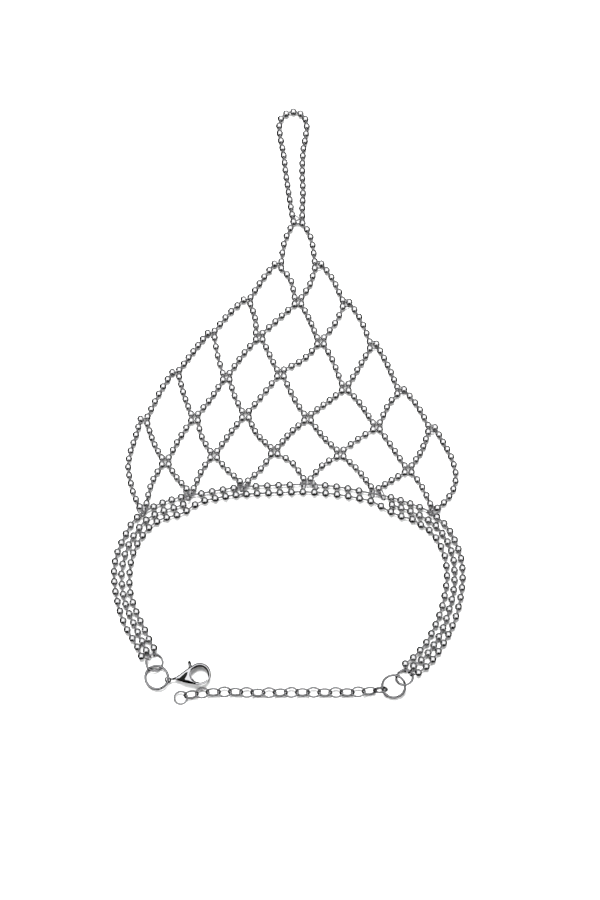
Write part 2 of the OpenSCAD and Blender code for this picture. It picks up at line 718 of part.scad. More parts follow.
small_ring(right_small);  // right_small_ring
large_ring(right_large);  // right_large_ring
for (i = [1 : link_count])
  extender_link(i);
extender_end_ring();
clasp_body();
clasp_lever();
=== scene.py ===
"""Looks for the hand chain bracelet: fine ball chains, links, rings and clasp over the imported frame.

Lengths are in millimetres and angles in degrees until a mesh is made, which is in metres.
"""
import math

import bpy
from mathutils import Matrix, Vector


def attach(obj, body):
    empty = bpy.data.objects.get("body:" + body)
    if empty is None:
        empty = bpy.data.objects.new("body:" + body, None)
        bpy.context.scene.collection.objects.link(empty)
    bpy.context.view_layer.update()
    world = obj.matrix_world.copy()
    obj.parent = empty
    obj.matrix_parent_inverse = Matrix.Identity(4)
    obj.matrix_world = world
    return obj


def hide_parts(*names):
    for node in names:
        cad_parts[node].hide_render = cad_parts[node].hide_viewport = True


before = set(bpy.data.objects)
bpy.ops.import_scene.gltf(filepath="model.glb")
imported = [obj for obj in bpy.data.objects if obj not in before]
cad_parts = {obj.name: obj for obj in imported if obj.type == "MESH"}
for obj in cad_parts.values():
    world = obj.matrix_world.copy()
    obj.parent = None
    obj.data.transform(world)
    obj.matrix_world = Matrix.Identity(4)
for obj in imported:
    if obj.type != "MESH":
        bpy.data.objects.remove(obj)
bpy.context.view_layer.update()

MM = 0.001

# Sizes of the chains, as in the construction but with balls 0.12 wider, as wide as they look
NET_BALL_D = 1.62
BAND_BALL_D = 1.72
NET_PITCH = 1.95
LOOP_PITCH = 1.8
BAND_PITCH = 2.65
ARM_PITCH = 2.4
WIRE_D = 0.46
MEETING_REACH = 0.82
MEETING_L = 1.64
MEETING_NEAR = 1.3
SOLDER_D = 0.34
# How far above its first meeting a chain starts, and how far in the two middle chains' first balls sit
START_RISE = 0.3
FIRST_BALL_IN = 0.55

# Rings and loops
SMALL_RING_D = 4.5
SMALL_WIRE_D = 0.48
LARGE_RING_D = 6.1
LARGE_WIRE_D = 0.55
END_WIRE_D = 0.28
END_GAP = 0.11
BUTT_GAP = 0.06
LAST_BALL_SEAT = 0.8
HANGER_D = 1.56
HANGER_WIRE_D = 0.3
HANGER_NEAR = 0.4

# Oval ties between the net and its hangers. Their foot and middle are moved to the side, along y and up
TIE_WIRE_D = 0.34
TIE_W = 1.5
TIE_END_R = 0.4
TIE_SLACK = 1.5
TIE_ROLL = 32
TIE_FOOT = (0.25, -0.1)
TIE_MIDDLE = (0.3, -0.5, 0.3)

# Top joint: how far its bar hangs down, how high its two curved wires start, and where each is bent to
JOINT_DROP = 0.35
JOINT_RISE = 1.75
JOINT_LIFTS = [(0, 1.2, 0.3), (0, 0.5, 0.5)]
JOINT_CUTS = 5

# Extender
LINK_L = 3.66
LINK_W = 2.7
LINK_WIRE_D = 0.42
LINK_END_R = 0.78
LINK_SLACK = 0.15
LINK_COUNT = 18
END_RING_D = 3.5
LINK_REACH = 1.3

# What the plating adds to the thickness of a ring's or a link's wire
PLATING = 0.06

# Fineness of the meshes
BALL_SIDES = 20
WIRE_SIDES = 12
RING_STEPS = 72
END_LOOP_STEPS = 28
END_RING_STEPS = 40
OVAL_END_STEPS = 14
OVAL_SIDE_STEPS = 10
# The second material of a piece whose balls have the first
WIRE_SLOT = 1

# Where two chains of the net lie side by side, row by row from the finger to the wrist, [x, y]
ROW_1 = [(-2.6, 34), (7, 34)]
ROW_2 = [(-10, 25.4), (2.2, 25.4), (13.7, 24.8)]
ROW_3 = [(-18.6, 17.4), (-7.1, 16.9), (7.6, 15.8), (20.2, 14.8)]
ROW_4 = [(-27.1, 8), (-15, 7.3), (-2, 8.1), (13.5, 4.7), (26.8, 3.9)]
ROW_5 = [(-34.7, -3.2), (-22.6, -2.5), (-10.4, -1.8), (4.5, -2.5), (21, -4.6), (34.2, -5.2)]
ROW_6 = [(-29.6, -13), (-18, -11.4), (-3.5, -10.5), (12.3, -11.1), (28.6, -14.9)]


def left_of(point):
    return (point[0] - MEETING_REACH, point[1], MEETING_L)


def right_of(point):
    return (point[0] + MEETING_REACH, point[1], MEETING_L)


def above_left(point):
    return (point[0] - MEETING_REACH, point[1] + START_RISE)


def above_right(point):
    return (point[0] + MEETING_REACH, point[1] + START_RISE)


# Chains of the net, through the meeting points and one point of their own between two of them. A third
# value is the distance between the two balls that a chain has where it meets another.
NET = [
    [
        (0.6, 43.3), (-1.1, 39.4), right_of(ROW_1[0]), (0.5, 30.4), left_of(ROW_2[1]), (-2.1, 21.5),
        right_of(ROW_3[1]), (-4.6, 12.5), left_of(ROW_4[2]), (-6.2, 3), right_of(ROW_5[2]), (-7.7, -6.4),
        left_of(ROW_6[2]), (-6.4, -14.5), (-9.8, -17.7),
    ],
    [
        (4.1, 43), (5.5, 39.8), left_of(ROW_1[1]), (5.1, 29.5), right_of(ROW_2[1]), (5, 20.9),
        left_of(ROW_3[2]), (3.7, 11.6), right_of(ROW_4[2]), (1, 2.5), left_of(ROW_5[3]), (0.3, -6.2),
        right_of(ROW_6[2]), (0.7, -13.2), (3.5, -17.1),
    ],
    [
        above_left(ROW_1[0]), (-6.4, 30.5), right_of(ROW_2[0]), (-8, 21), left_of(ROW_3[1]), (-11, 12.6),
        right_of(ROW_4[1]), (-13.1, 2.9), left_of(ROW_5[2]), (-14.2, -6.4), right_of(ROW_6[1]),
        (-14.8, -15), (-11.7, -17.8),
    ],
    [
        above_right(ROW_1[1]), (10.6, 30.5), left_of(ROW_2[2]), (11.3, 20.4), right_of(ROW_3[2]),
        (10.5, 11.2), left_of(ROW_4[3]), (9.5, 1.4), right_of(ROW_5[3]), (8.2, -7.1), left_of(ROW_6[3]),
        (8.2, -13.8), (5.2, -17.2),
    ],
    [
        above_left(ROW_2[0]), (-14.5, 22.2), right_of(ROW_3[0]), (-17.2, 12.8), left_of(ROW_4[1]),
        (-18.4, 2.5), right_of(ROW_5[1]), (-20.9, -7.1), left_of(ROW_6[1]), (-20.9, -15.2), (-22.8, -19.5),
    ],
    [
        above_right(ROW_2[2]), (17.3, 20.8), left_of(ROW_3[3]), (17.2, 10.2), right_of(ROW_4[3]), (17.2, 0.7),
        left_of(ROW_5[4]), (16.7, -7.6), right_of(ROW_6[3]), (16.4, -14.9), (19.7, -19.1),
    ],
    [
        above_left(ROW_3[0]), (-22.9, 13.3), right_of(ROW_4[0]), (-25.1, 2.8), left_of(ROW_5[1]),
        (-26.3, -7.6), right_of(ROW_6[0]), (-27.1, -16.6), (-24.5, -19.6),
    ],
    [
        above_right(ROW_3[3]), (23.8, 9.8), left_of(ROW_4[4]), (23.8, 0.5), right_of(ROW_5[4]), (24.5, -9.2),
        left_of(ROW_6[4]), (24.9, -17.4), (21.5, -19.5),
    ],
    [
        above_left(ROW_4[0]), (-30.9, 3.6), right_of(ROW_5[0]), (-32.5, -8.3), left_of(ROW_6[0]),
        (-32.9, -18.2), (-34.1, -23.1),
    ],
    [
        above_right(ROW_4[4]), (30.9, 0.2), left_of(ROW_5[5]), (31.9, -10.2), right_of(ROW_6[4]),
        (31.7, -18.7), (33.9, -23.2),
    ],
    [
        above_left(ROW_5[0]), (-36.9, -7.6), (-38.1, -11.2), (-38.5, -14.5), (-38, -17.6), (-37.2, -20.8),
        (-35.7, -23.9),
    ],
    [
        above_right(ROW_5[5]), (36.9, -8.3), (38.7, -11.5), (39.8, -14.8), (40, -17.4), (39.2, -20.2),
        (37.5, -22.6), (35.6, -24.2),
    ],
]

LOOP = [
    (1.1, 44.3), (0.4, 48.4), (-0.6, 55.1), (-1.3, 60.8), (-2, 64.4), (-2.3, 67.1), (-1.9, 69),
    (-0.7, 70.2), (1, 70.7), (2.7, 70.3), (3.9, 69.1), (4.3, 67.1), (3.9, 64.2), (3.4, 61.1),
    (3.2, 56.3), (3.4, 51.5), (3.2, 47.6), (3.3, 44),
]

# The band's strands: up the left side, across the back of the wrist, down the right side
UPPER_LEFT = [
    (-36.5, -57.1), (-38.9, -53.1), (-40.4, -49.2), (-41.5, -44.6), (-41.9, -39.9), (-41.3, -35.5),
    (-39.3, -30.9), (-37.2, -27.3),
]
UPPER_MIDDLE = [
    (-34.4, -25.1), (-30.5, -23.1), (-26, -21.7), (-23.5, -21.3), (-18.5, -20.3), (-13.4, -19.5),
    (-10.6, -19.2), (-5, -18.9), (0.4, -18.7), (3, -18.6), (6, -18.7), (9.3, -18.9), (14.3, -19.6),
    (19.5, -20.7), (22.1, -21.2), (24.5, -21.7), (28.9, -23.1), (33.6, -25),
]
UPPER_RIGHT = [
    (35.2, -26.2), (37, -27.7), (38.7, -29.9), (40.7, -34.2), (41.6, -38.6), (41.5, -43.3), (40.7, -47.8),
    (39.5, -51.8), (37.3, -56.3), (34.6, -60.4), (32.9, -62.3),
]
LOWER_LEFT = [
    (-33.4, -55.9), (-34.4, -53.6), (-35.5, -51.4), (-36.5, -49.2), (-37.3, -47), (-37.9, -45.1),
    (-38.2, -40.9), (-37.7, -36.4), (-36.7, -33.7), (-35.6, -31.7), (-34.5, -30.1), (-33.1, -28.6),
]
LOWER_MIDDLE = [
    (-31.6, -27.5), (-29.8, -26.7), (-27.8, -26.2), (-25.7, -25.6), (-24.3, -24.8), (-23, -23.8),
    (-21.1, -22.8), (-18.4, -22.1), (-13.1, -21.2), (-7.6, -20.8), (-2.3, -20.6), (2.9, -20.4),
    (8.1, -20.65), (13.5, -21.3), (18.9, -22.4), (21.2, -23.3), (23.2, -24.5), (25.3, -25.6),
    (27.4, -26.4), (29.6, -27),
]
LOWER_RIGHT = [
    (31.7, -28.3), (33.6, -29.5), (35.2, -31.3), (36.4, -33.4), (37.3, -35.5), (37.7, -37.6),
    (37.9, -40), (37.8, -42), (37.5, -44.3), (37.1, -46.4), (36.5, -48.7), (35.7, -50.9), (34.7, -53.2),
    (33.7, -55.2), (32.5, -57.1), (31.1, -58.7), (29.7, -60.2),
]
THIRD_LEFT = [
    (-35.3, -55.8), (-36.5, -53.4), (-37.5, -51.2), (-38.5, -49), (-39.25, -46.8), (-39.75, -44.6),
    (-40, -42.3), (-40.1, -40.2), (-39.8, -37.7), (-39.1, -34.8), (-38.05, -32.45), (-37.2, -30.95),
    (-36.05, -29.2), (-34.3, -27.25), (-32.3, -25.95), (-30, -24.9), (-27.5, -24.2), (-25.3, -23.4),
]
THIRD_RIGHT = [
    (24.7, -23.5), (27.1, -24.3), (29.25, -25.1), (31.5, -26.1), (33.35, -27.1), (35.1, -28.35),
    (36.6, -30.1), (37.9, -32.1), (38.8, -34.2), (39.5, -36.8), (39.7, -39.2), (39.7, -41.7), (39.4, -44.6),
    (38.8, -47.2), (38.1, -49.7), (37.4, -51.8), (36.5, -54), (35.3, -56.2), (33.8, -58.4), (32.3, -60.2),
]

# Small rings that take the place of a ball in the upper strand, for the net to hang on: x, y, turn
HANGERS = [
    (-34.4, -25.1, 88), (-23.5, -21.3, 74), (-10.6, -19.2, 66), (3, -18.6, 118), (6, -18.7, 60),
    (19.5, -20.7, 50), (22.1, -21.2, 108), (33.6, -25, 38),
]

# Which hanger each chain of the net ends on, in the order of the chains
HUNG_ON = [2, 3, 2, 4, 1, 5, 1, 6, 0, 7, 0, 7]

# Places in the middle of the band's strands between which the balls are evenly spaced
UPPER_MARKS = [0, 3, 6, 9, 10, 13, 14, 17]
LOWER_MARKS = [0, 9, 19]

# Route of the extender from its first link to past its free end
EXTENDER = [
    (14.6, -68.4), (3, -68.4), (-7.6, -68.5), (-13.5, -68.3), (-18.9, -68.4), (-21.6, -68.7),
    (-24, -69.1), (-26.5, -70), (-29.5, -71.6),
]


def clamp(value):
    return min(max(value, 0), 1)


def curve(route, cuts=4):
    """A smooth curve through a route, with a number of cuts to each span."""
    points = [Vector(p) for p in route]
    path = []
    for i in range(len(points) - 1):
        a = points[max(i - 1, 0)]
        b = points[i]
        c = points[i + 1]
        d = points[min(i + 2, len(points) - 1)]
        for k in range(cuts):
            u = k / cuts
            cubic = 1.5 * b - 1.5 * c + (d - a) / 2
            square = a - 2.5 * b + 2 * c - d / 2
            path.append(b + u * ((c - a) / 2 + u * (square + u * cubic)))
    path.append(points[-1])
    return path


class Track:
    """A curve measured along its length."""

    def __init__(self, route, cuts=4):
        self.cuts = cuts
        self.path = curve(route, cuts)
        self.run = [0.0]
        for a, b in zip(self.path, self.path[1:]):
            self.run.append(self.run[-1] + (b - a).length)

    def at(self, distance):
        distance = min(max(distance, 0), self.run[-1])
        i = 0
        while i < len(self.run) - 2 and self.run[i + 1] < distance:
            i += 1
        share = (distance - self.run[i]) / (self.run[i + 1] - self.run[i])
        return self.path[i].lerp(self.path[i + 1], share)

    def heading(self, distance, look=0.2):
        step = self.at(distance + look) - self.at(distance - look)
        return math.degrees(math.atan2(step.y, step.x))

    def stops(self, marks, pitches, start=0.0):
        """Distances of the balls from start on, where the pitch changes at the marks in the route."""
        found = []
        for j, pitch in enumerate(pitches):
            first = self.run[marks[j] * self.cuts] + (start if j == 0 else 0)
            last = self.run[marks[j + 1] * self.cuts]
            count = max(round((last - first) / pitch), 1)
            found += [first + k * (last - first) / count for k in range(count)]
        return found + [self.run[-1]]


def spans(route):
    """A net chain's route cut at its meeting points, from below each to above the next."""
    cut = []
    span = [route[0][:2]]
    for x, y, *stretch in route[1:]:
        half = stretch[0] / 2 if stretch else 0
        span.append((x, y + half))
        if stretch:
            cut.append(span)
            span = [(x, y - half)]
    return cut + [span]


# Mesh building


def write_values(mesh, name, values):
    attribute = mesh.attributes.new(name, "FLOAT", "POINT")
    attribute.data.foreach_set("value", values)


class Mesh:
    """Collects points and faces in millimetres, and turns them into one piece."""

    def __init__(self):
        self.points = []
        self.faces = []
        self.slots = []
        self.shade = []

    def add(self, points, faces, slot=0, shade=None):
        base = len(self.points)
        self.points += points
        self.faces += [[base + i for i in face] for face in faces]
        self.slots += [slot] * len(faces)
        self.shade += shade or [1.0] * len(points)

    def piece(self, name, body, record_slot, materials, nodes):
        mesh = bpy.data.meshes.new(name)
        mesh.from_pydata([tuple(p * MM) for p in self.points], [], self.faces)
        mesh.polygons.foreach_set("material_index", self.slots)
        mesh.polygons.foreach_set("use_smooth", [True] * len(self.faces))
        # Painted shade of each point, which darkens its metal's colour
        write_values(mesh, "shade", self.shade)
        mesh.update()
        for material in materials:
            mesh.materials.append(material)
        piece = bpy.data.objects.new(name, mesh)
        bpy.context.scene.collection.objects.link(piece)
        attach(piece, body)
        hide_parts(*nodes)


def grid_faces(rows, sides, closed=False):
    faces = []
    for i in range(rows if closed else rows - 1):
        this = i * sides
        above = (i + 1) % rows * sides
        for j in range(sides):
            k = (j + 1) % sides
            faces.append([this + j, this + k, above + k, above + j])
    return faces


def add_sweep(mesh, path, radius, slot=0, closed=False):
    """Round wire along a path of 3D points."""
    count = len(path)
    points = []
    side = None
    for i, p in enumerate(path):
        before = path[(i - 1) % count] if closed or i else p
        after = path[(i + 1) % count] if closed or i < count - 1 else p
        ahead = (after - before).normalized()
        if side is None:
            side = ahead.orthogonal().normalized()
        side = (side - ahead * side.dot(ahead)).normalized()
        up = ahead.cross(side)
        for j in range(WIRE_SIDES):
            turn = 2 * math.pi * j / WIRE_SIDES
            points.append(p + radius * (math.cos(turn) * side + math.sin(turn) * up))
    faces = grid_faces(count, WIRE_SIDES, closed)
    if not closed:
        faces.append(list(range(WIRE_SIDES))[::-1])
        faces.append([(count - 1) * WIRE_SIDES + j for j in range(WIRE_SIDES)])
    mesh.add(points, faces, slot)


# Turned section of a ball: distance along the wire and from it, as shares of the radius, and its painted
# shade, which darkens the ball towards each end where it meets the wire.
# The shell is round, and its metal turns in at each end where the wire comes out.
BALL_SECTION = [
    (-0.80, 0.27, 0.0), (-0.88, 0.30, 0.0), (-0.93, 0.36, 0.2), (-0.89, 0.455, 0.7), (-0.80, 0.60, 0.9),
    (-0.66, 0.75, 1.0), (-0.47, 0.883, 1.0), (-0.24, 0.971, 1.0), (0.0, 1.0, 1.0), (0.24, 0.971, 1.0),
    (0.47, 0.883, 1.0), (0.66, 0.75, 1.0), (0.80, 0.60, 0.9), (0.89, 0.455, 0.7), (0.93, 0.36, 0.2),
    (0.88, 0.30, 0.0), (0.80, 0.27, 0.0),
]


def add_ball(mesh, centre, heading, diameter):
    r = diameter / 2
    ahead = Vector((math.cos(math.radians(heading)), math.sin(math.radians(heading)), 0))
    side = Vector((-ahead.y, ahead.x, 0))
    up = Vector((0, 0, 1))
    points = []
    shade = []
    # Each ring of points takes its painted shade from the section, dark at the ball's ends
    for along, away, tone in BALL_SECTION:
        for j in range(BALL_SIDES):
            turn = 2 * math.pi * j / BALL_SIDES
            ring = math.cos(turn) * side + math.sin(turn) * up
            points.append(centre + r * (along * ahead + away * ring))
            shade.append(tone)
    mesh.add(points, grid_faces(len(BALL_SECTION), BALL_SIDES), shade=shade)


def hanger_at(centre):
    """Whether a hanger takes a ball's place."""
    return any(math.hypot(centre.x - x, centre.y - y) < HANGER_NEAR for x, y, _ in HANGERS)


def ball_centres(track, stops, diameter):
    return [track.at(stop).to_3d() + Vector((0, 0, diameter / 2)) for stop in stops]


def add_core(mesh, track, stops, diameter):
    """The wire through a strand's balls."""
    path = []
    for a, b in zip(stops, stops[1:]):
        path += [a, (3 * a + b) / 4, (a + b) / 2, (a + 3 * b) / 4]
    path.append(stops[-1])
    add_sweep(mesh, ball_centres(track, path, diameter), WIRE_D / 2)


def unit(angle):
    return Vector((math.cos(math.radians(angle)), math.sin(math.radians(angle))))


# Rings and loops: a ring is (centre, direction of the axis it is tipped about, tilt)


def ring_point(ring, r, t):
    """The point at the angle t round a ring, r from its centre."""
    centre, turn, tilt = ring
    flat = Matrix.Rotation(math.radians(turn), 3, "Z") @ Matrix.Rotation(math.radians(tilt), 3, "X")
    return centre + flat @ Vector((r * math.cos(math.radians(t)), r * math.sin(math.radians(t)), 0))


def ring_ahead(ring, t):
    return (ring_point(ring, 1, t + 0.5) - ring_point(ring, 1, t - 0.5)).normalized()


def add_ring(mesh, ring, r, wire_d, cut=None):
    """A jump ring: a closed circle, or one with a fine butt joint at the angle cut."""
    if cut is None:
        path = [ring_point(ring, r, 360 * i / RING_STEPS) for i in range(RING_STEPS)]
        add_sweep(mesh, path, wire_d / 2, closed=True)
        return
    gap = math.degrees(BUTT_GAP / r)
    step = (360 - gap) / RING_STEPS
    path = [ring_point(ring, r, cut + gap / 2 + step * i) for i in range(RING_STEPS + 1)]
    add_sweep(mesh, path, wire_d / 2)


small_r = (SMALL_RING_D - SMALL_WIRE_D) / 2
large_r = (LARGE_RING_D - LARGE_WIRE_D) / 2
tight = small_r + large_r - (SMALL_WIRE_D + LARGE_WIRE_D) / 2
end_loop_r = SMALL_WIRE_D / 2 + END_GAP + END_WIRE_D / 2
end_loop_reach = end_loop_r + END_WIRE_D / 2

LEFT_SMALL_AT = Vector((-32.2, -61.3))
LEFT_TURN = 99
LEFT_SMALL_TILT = 16.3
LEFT_LARGE_TILT = -8
LEFT_SLACK = 0.64
left_z = SMALL_WIRE_D / 2 + small_r * math.sin(math.radians(LEFT_SMALL_TILT))
left_large_at = LEFT_SMALL_AT - (tight - LEFT_SLACK) * unit(LEFT_TURN)
left_small = (LEFT_SMALL_AT.to_3d() + Vector((0, 0, left_z)), LEFT_TURN, LEFT_SMALL_TILT)
left_large = (left_large_at.to_3d() + Vector((0, 0, left_z)), LEFT_TURN, LEFT_LARGE_TILT)

RIGHT_SMALL_AT = Vector((27.7, -64.8))
RIGHT_PAIR_TURN = 40.2
RIGHT_SMALL_TILT = -34
RIGHT_SMALL_TURN = 18
RIGHT_LARGE_TILT = 12
RIGHT_LARGE_TURN = -10
RIGHT_SLACK = 0.88
HOLD_ANGLE = 198
right_large_at = RIGHT_SMALL_AT - (tight - RIGHT_SLACK) * unit(RIGHT_PAIR_TURN)
right_small_z = end_loop_reach - small_r * math.sin(math.radians(RIGHT_SMALL_TILT))
right_large_z = LINK_WIRE_D + LARGE_WIRE_D / 2 + large_r * math.sin(math.radians(RIGHT_LARGE_TILT))
right_small = (RIGHT_SMALL_AT.to_3d() + Vector((0, 0, right_small_z)), RIGHT_SMALL_TURN, RIGHT_SMALL_TILT)
right_large = (right_large_at.to_3d() + Vector((0, 0, right_large_z)), RIGHT_LARGE_TURN, RIGHT_LARGE_TILT)

# End loops on the small rings, in degrees round the ring: upper, third and lower strand
LEFT_LOOPS = [55, 25, -7]
RIGHT_LOOPS = [0, 33, 69]


def last_ball(ring, t):
    """Where a strand's last ball lies in the plan, outside its end loop at the angle t of the ring."""
    wire = ring_point(ring, small_r, t).to_2d()
    ahead = ring_ahead(ring, t)
    out = math.degrees(math.atan2(ahead.y, ahead.x)) - 90
    return tuple(wire + (end_loop_reach + END_GAP + LAST_BALL_SEAT) * unit(out))


def add_end_loop(mesh, ring, t):
    """A loop round the ring's wire, and the short stem that goes into the strand's last ball."""
    centre = ring_point(ring, small_r, t)
    ahead = ring_ahead(ring, t)
    ball = Vector(last_ball(ring, t)).to_3d() + Vector((0, 0, LAST_BALL_SEAT))
    out = ball - centre
    out = (out - ahead * out.dot(ahead)).normalized()
    across = ahead.cross(out)
    turns = [2 * math.pi * i / END_LOOP_STEPS for i in range(END_LOOP_STEPS)]
    path = [centre + end_loop_r * (math.cos(a) * out + math.sin(a) * across) for a in turns]
    add_sweep(mesh, path, END_WIRE_D / 2, closed=True)
    add_sweep(mesh, [centre + end_loop_r * out, ball], END_WIRE_D / 2)


# Extender


def arc(centre, r, start, end, steps):
    """Points on an arc in the plan, all but its last one."""
    turns = [math.radians(start + (end - start) * i / steps) for i in range(steps)]
    return [Vector((centre[0] + r * math.cos(t), centre[1] + r * math.sin(t), 0)) for t in turns]


def oval(length, width, wire_d, end_r):
    """Centre line of an oval link that lies along x: close arcs at its ends, wide ones at its sides."""
    half_l = (length - wire_d) / 2
    half_w = (width - wire_d) / 2
    reach = half_l - end_r
    side_r = (reach ** 2 + half_w ** 2 - end_r ** 2) / (2 * (half_w - end_r))
    drop = side_r - half_w
    join = math.degrees(math.atan2(drop, reach))
    return (
        arc((reach, 0), end_r, -join, join, OVAL_END_STEPS)
        + arc((0, -drop), side_r, join, 180 - join, OVAL_SIDE_STEPS)
        + arc((-reach, 0), end_r, 180 - join, 180 + join, OVAL_END_STEPS)
        + arc((0, drop), side_r, 180 + join, 360 - join, OVAL_SIDE_STEPS)
    )


def place(line, centre, heading, roll):
    """A line rolled about its x axis, turned to its heading and moved to its centre."""
    turn = Matrix.Rotation(math.radians(heading), 3, "Z") @ Matrix.Rotation(math.radians(roll), 3, "X")
    return [centre + turn @ p for p in line]


# Roll of the first link, of the other odd and even ones, and of the round link at the end
FIRST_ROLL = 66
FLAT_ROLL = 14
STEEP_ROLL = -39
END_ROLL = 16


def build_extender(metal):
    hold = ring_point(right_large, large_r, HOLD_ANGLE - RIGHT_LARGE_TURN)
    route = [(hold.x + LINK_REACH - LINK_L / 2, hold.y)] + EXTENDER
    track = Track(route)
    pitch = LINK_L - 2 * LINK_WIRE_D - LINK_SLACK
    end_pitch = (LINK_L + END_RING_D) / 2 - 2 * LINK_WIRE_D - LINK_SLACK
    z = LINK_WIRE_D / 2 + (LINK_W - LINK_WIRE_D) / 2 * math.sin(math.radians(FIRST_ROLL))
    for i in range(LINK_COUNT):
        at = i * pitch
        roll = FIRST_ROLL if i == 0 else STEEP_ROLL if i % 2 else FLAT_ROLL
        centre = track.at(at).to_3d() + Vector((0, 0, z))
        line = place(oval(LINK_L, LINK_W, LINK_WIRE_D, LINK_END_R), centre, track.heading(at), roll)
        mesh = Mesh()
        add_sweep(mesh, line, (LINK_WIRE_D + PLATING) / 2, closed=True)
        name = f"extender_link_{i + 1:02d}"
        mesh.piece(name.replace("link", "oval"), "bracelet", "links", [metal], [name])
    at = (LINK_COUNT - 1) * pitch + end_pitch
    centre = track.at(at).to_3d() + Vector((0, 0, z))
    mesh = Mesh()
    circle = arc((0, 0), (END_RING_D - LINK_WIRE_D) / 2, 0, 360, END_RING_STEPS)
    line = place(circle, centre, track.heading(at), END_ROLL)
    add_sweep(mesh, line, (LINK_WIRE_D + PLATING) / 2, closed=True)
    mesh.piece("extender_end", "bracelet", "links", [metal], ["extender_end_ring"])


# Materials


# How far the mottling changes a metal's shade, and the part of the noise that its roughness follows
MOTTLING = 0.16
NOISE_LOW = 0.35
NOISE_HIGH = 0.65

# Fine bumps: how much finer than the mottling, how strong, and their height in metres
BUMP_FINER = 4
BUMP_STRENGTH = 0.12
BUMP_HEIGHT = 0.00002

# How much rougher brushed walls are, and how metallic they stay
WALL_ROUGHER = 0.45
WALL_METALLIC = 0.6


def metal_material(name, bright, dark, rough_low, rough_high, grain):
    """Polished plated metal with faint mottling, darker where the points' painted shade is low."""
    material = bpy.data.materials.new(name)
    material.use_nodes = True
    nodes = material.node_tree.nodes
    links = material.node_tree.links
    shader = nodes["Principled BSDF"]
    shader.inputs["Metallic"].default_value = 1.0
    coordinates = nodes.new("ShaderNodeTexCoord")
    mottle = nodes.new("ShaderNodeTexNoise")
    mottle.inputs["Scale"].default_value = grain
    mottle.inputs["Detail"].default_value = 4.0
    links.new(coordinates.outputs["Object"], mottle.inputs["Vector"])

    # The points' painted shade turns the base colour towards the dark one
    shade = nodes.new("ShaderNodeAttribute")
    shade.attribute_name = "shade"
    tone = nodes.new("ShaderNodeMath")
    tone.operation = "MULTIPLY_ADD"
    tone.use_clamp = True
    tone.inputs[1].default_value = MOTTLING
    links.new(mottle.outputs["Fac"], tone.inputs[0])
    base = nodes.new("ShaderNodeMath")
    base.operation = "SUBTRACT"
    base.inputs[1].default_value = MOTTLING / 2
    links.new(shade.outputs["Fac"], base.inputs[0])
    links.new(base.outputs["Value"], tone.inputs[2])
    colour = nodes.new("ShaderNodeMix")
    colour.data_type = "RGBA"
    colour.inputs["A"].default_value = (*dark, 1)
    colour.inputs["B"].default_value = (*bright, 1)
    links.new(tone.outputs["Value"], colour.inputs["Factor"])
    links.new(colour.outputs["Result"], shader.inputs["Base Color"])

    rough = nodes.new("ShaderNodeMapRange")
    rough.inputs["From Min"].default_value = NOISE_LOW
    rough.inputs["From Max"].default_value = NOISE_HIGH
    rough.inputs["To Min"].default_value = rough_low
    rough.inputs["To Max"].default_value = rough_high
    links.new(mottle.outputs["Fac"], rough.inputs["Value"])
    links.new(rough.outputs["Result"], shader.inputs["Roughness"])

    fine = nodes.new("ShaderNodeTexNoise")
    fine.inputs["Scale"].default_value = grain * BUMP_FINER
    links.new(coordinates.outputs["Object"], fine.inputs["Vector"])
    bump = nodes.new("ShaderNodeBump")
    bump.inputs["Strength"].default_value = BUMP_STRENGTH
    bump.inputs["Distance"].default_value = BUMP_HEIGHT
    links.new(fine.outputs["Fac"], bump.inputs["Height"])
    links.new(bump.outputs["Normal"], shader.inputs["Normal"])
    return material


def brush_walls(material):
    """Make a metal rougher and less of a mirror where the points' value brushed is high."""
    nodes = material.node_tree.nodes
    links = material.node_tree.links
    shader = nodes["Principled BSDF"]
    polished = shader.inputs["Roughness"].links[0].from_socket
    brushed = nodes.new("ShaderNodeAttribute")
    brushed.attribute_name = "brushed"
    rougher = nodes.new("ShaderNodeMath")
    rougher.operation = "MULTIPLY_ADD"
    rougher.inputs[1].default_value = WALL_ROUGHER
    links.new(brushed.outputs["Fac"], rougher.inputs[0])
    links.new(polished, rougher.inputs[2])
    links.new(rougher.outputs["Value"], shader.inputs["Roughness"])
    satin = nodes.new("ShaderNodeMath")
    satin.operation = "MULTIPLY_ADD"
    satin.inputs[1].default_value = WALL_METALLIC - 1
    satin.inputs[2].default_value = 1.0
    links.new(brushed.outputs["Fac"], satin.inputs[0])
    links.new(satin.outputs["Value"], shader.inputs["Metallic"])


# How light the floor is, and how light it is in the metal's reflections
FLOOR_LOW = 0.90
FLOOR_HIGH = 0.92
FLOOR_MIRRORED = 0.01

# How strong the room is for the floor, and its ceiling and horizon in the metal
ROOM_LIGHT = 0.19
ROOM_MIRRORED = 1.6
HORIZON_MIRRORED = 0.01
# Sines of the heights where the horizon ends and the ceiling is full, and the room's way up, which leans
HORIZON_TOP = 0.12
CEILING_FROM = 0.70
ROOM_UP = (0, 0.04, 1)

# Dark things in the room that the metal shows: direction, radius in degrees and how dark. They fade out
# over half their radius more.
SPOT_FADE = 1.5
DARK_SPOTS = [
    ((0.0, -0.90, 0.44), 27, 1.0),
    ((-0.95, 0.10, 0.30), 22, 1.0),
    ((0.95, -0.20, 0.25), 18, 0.8),
]


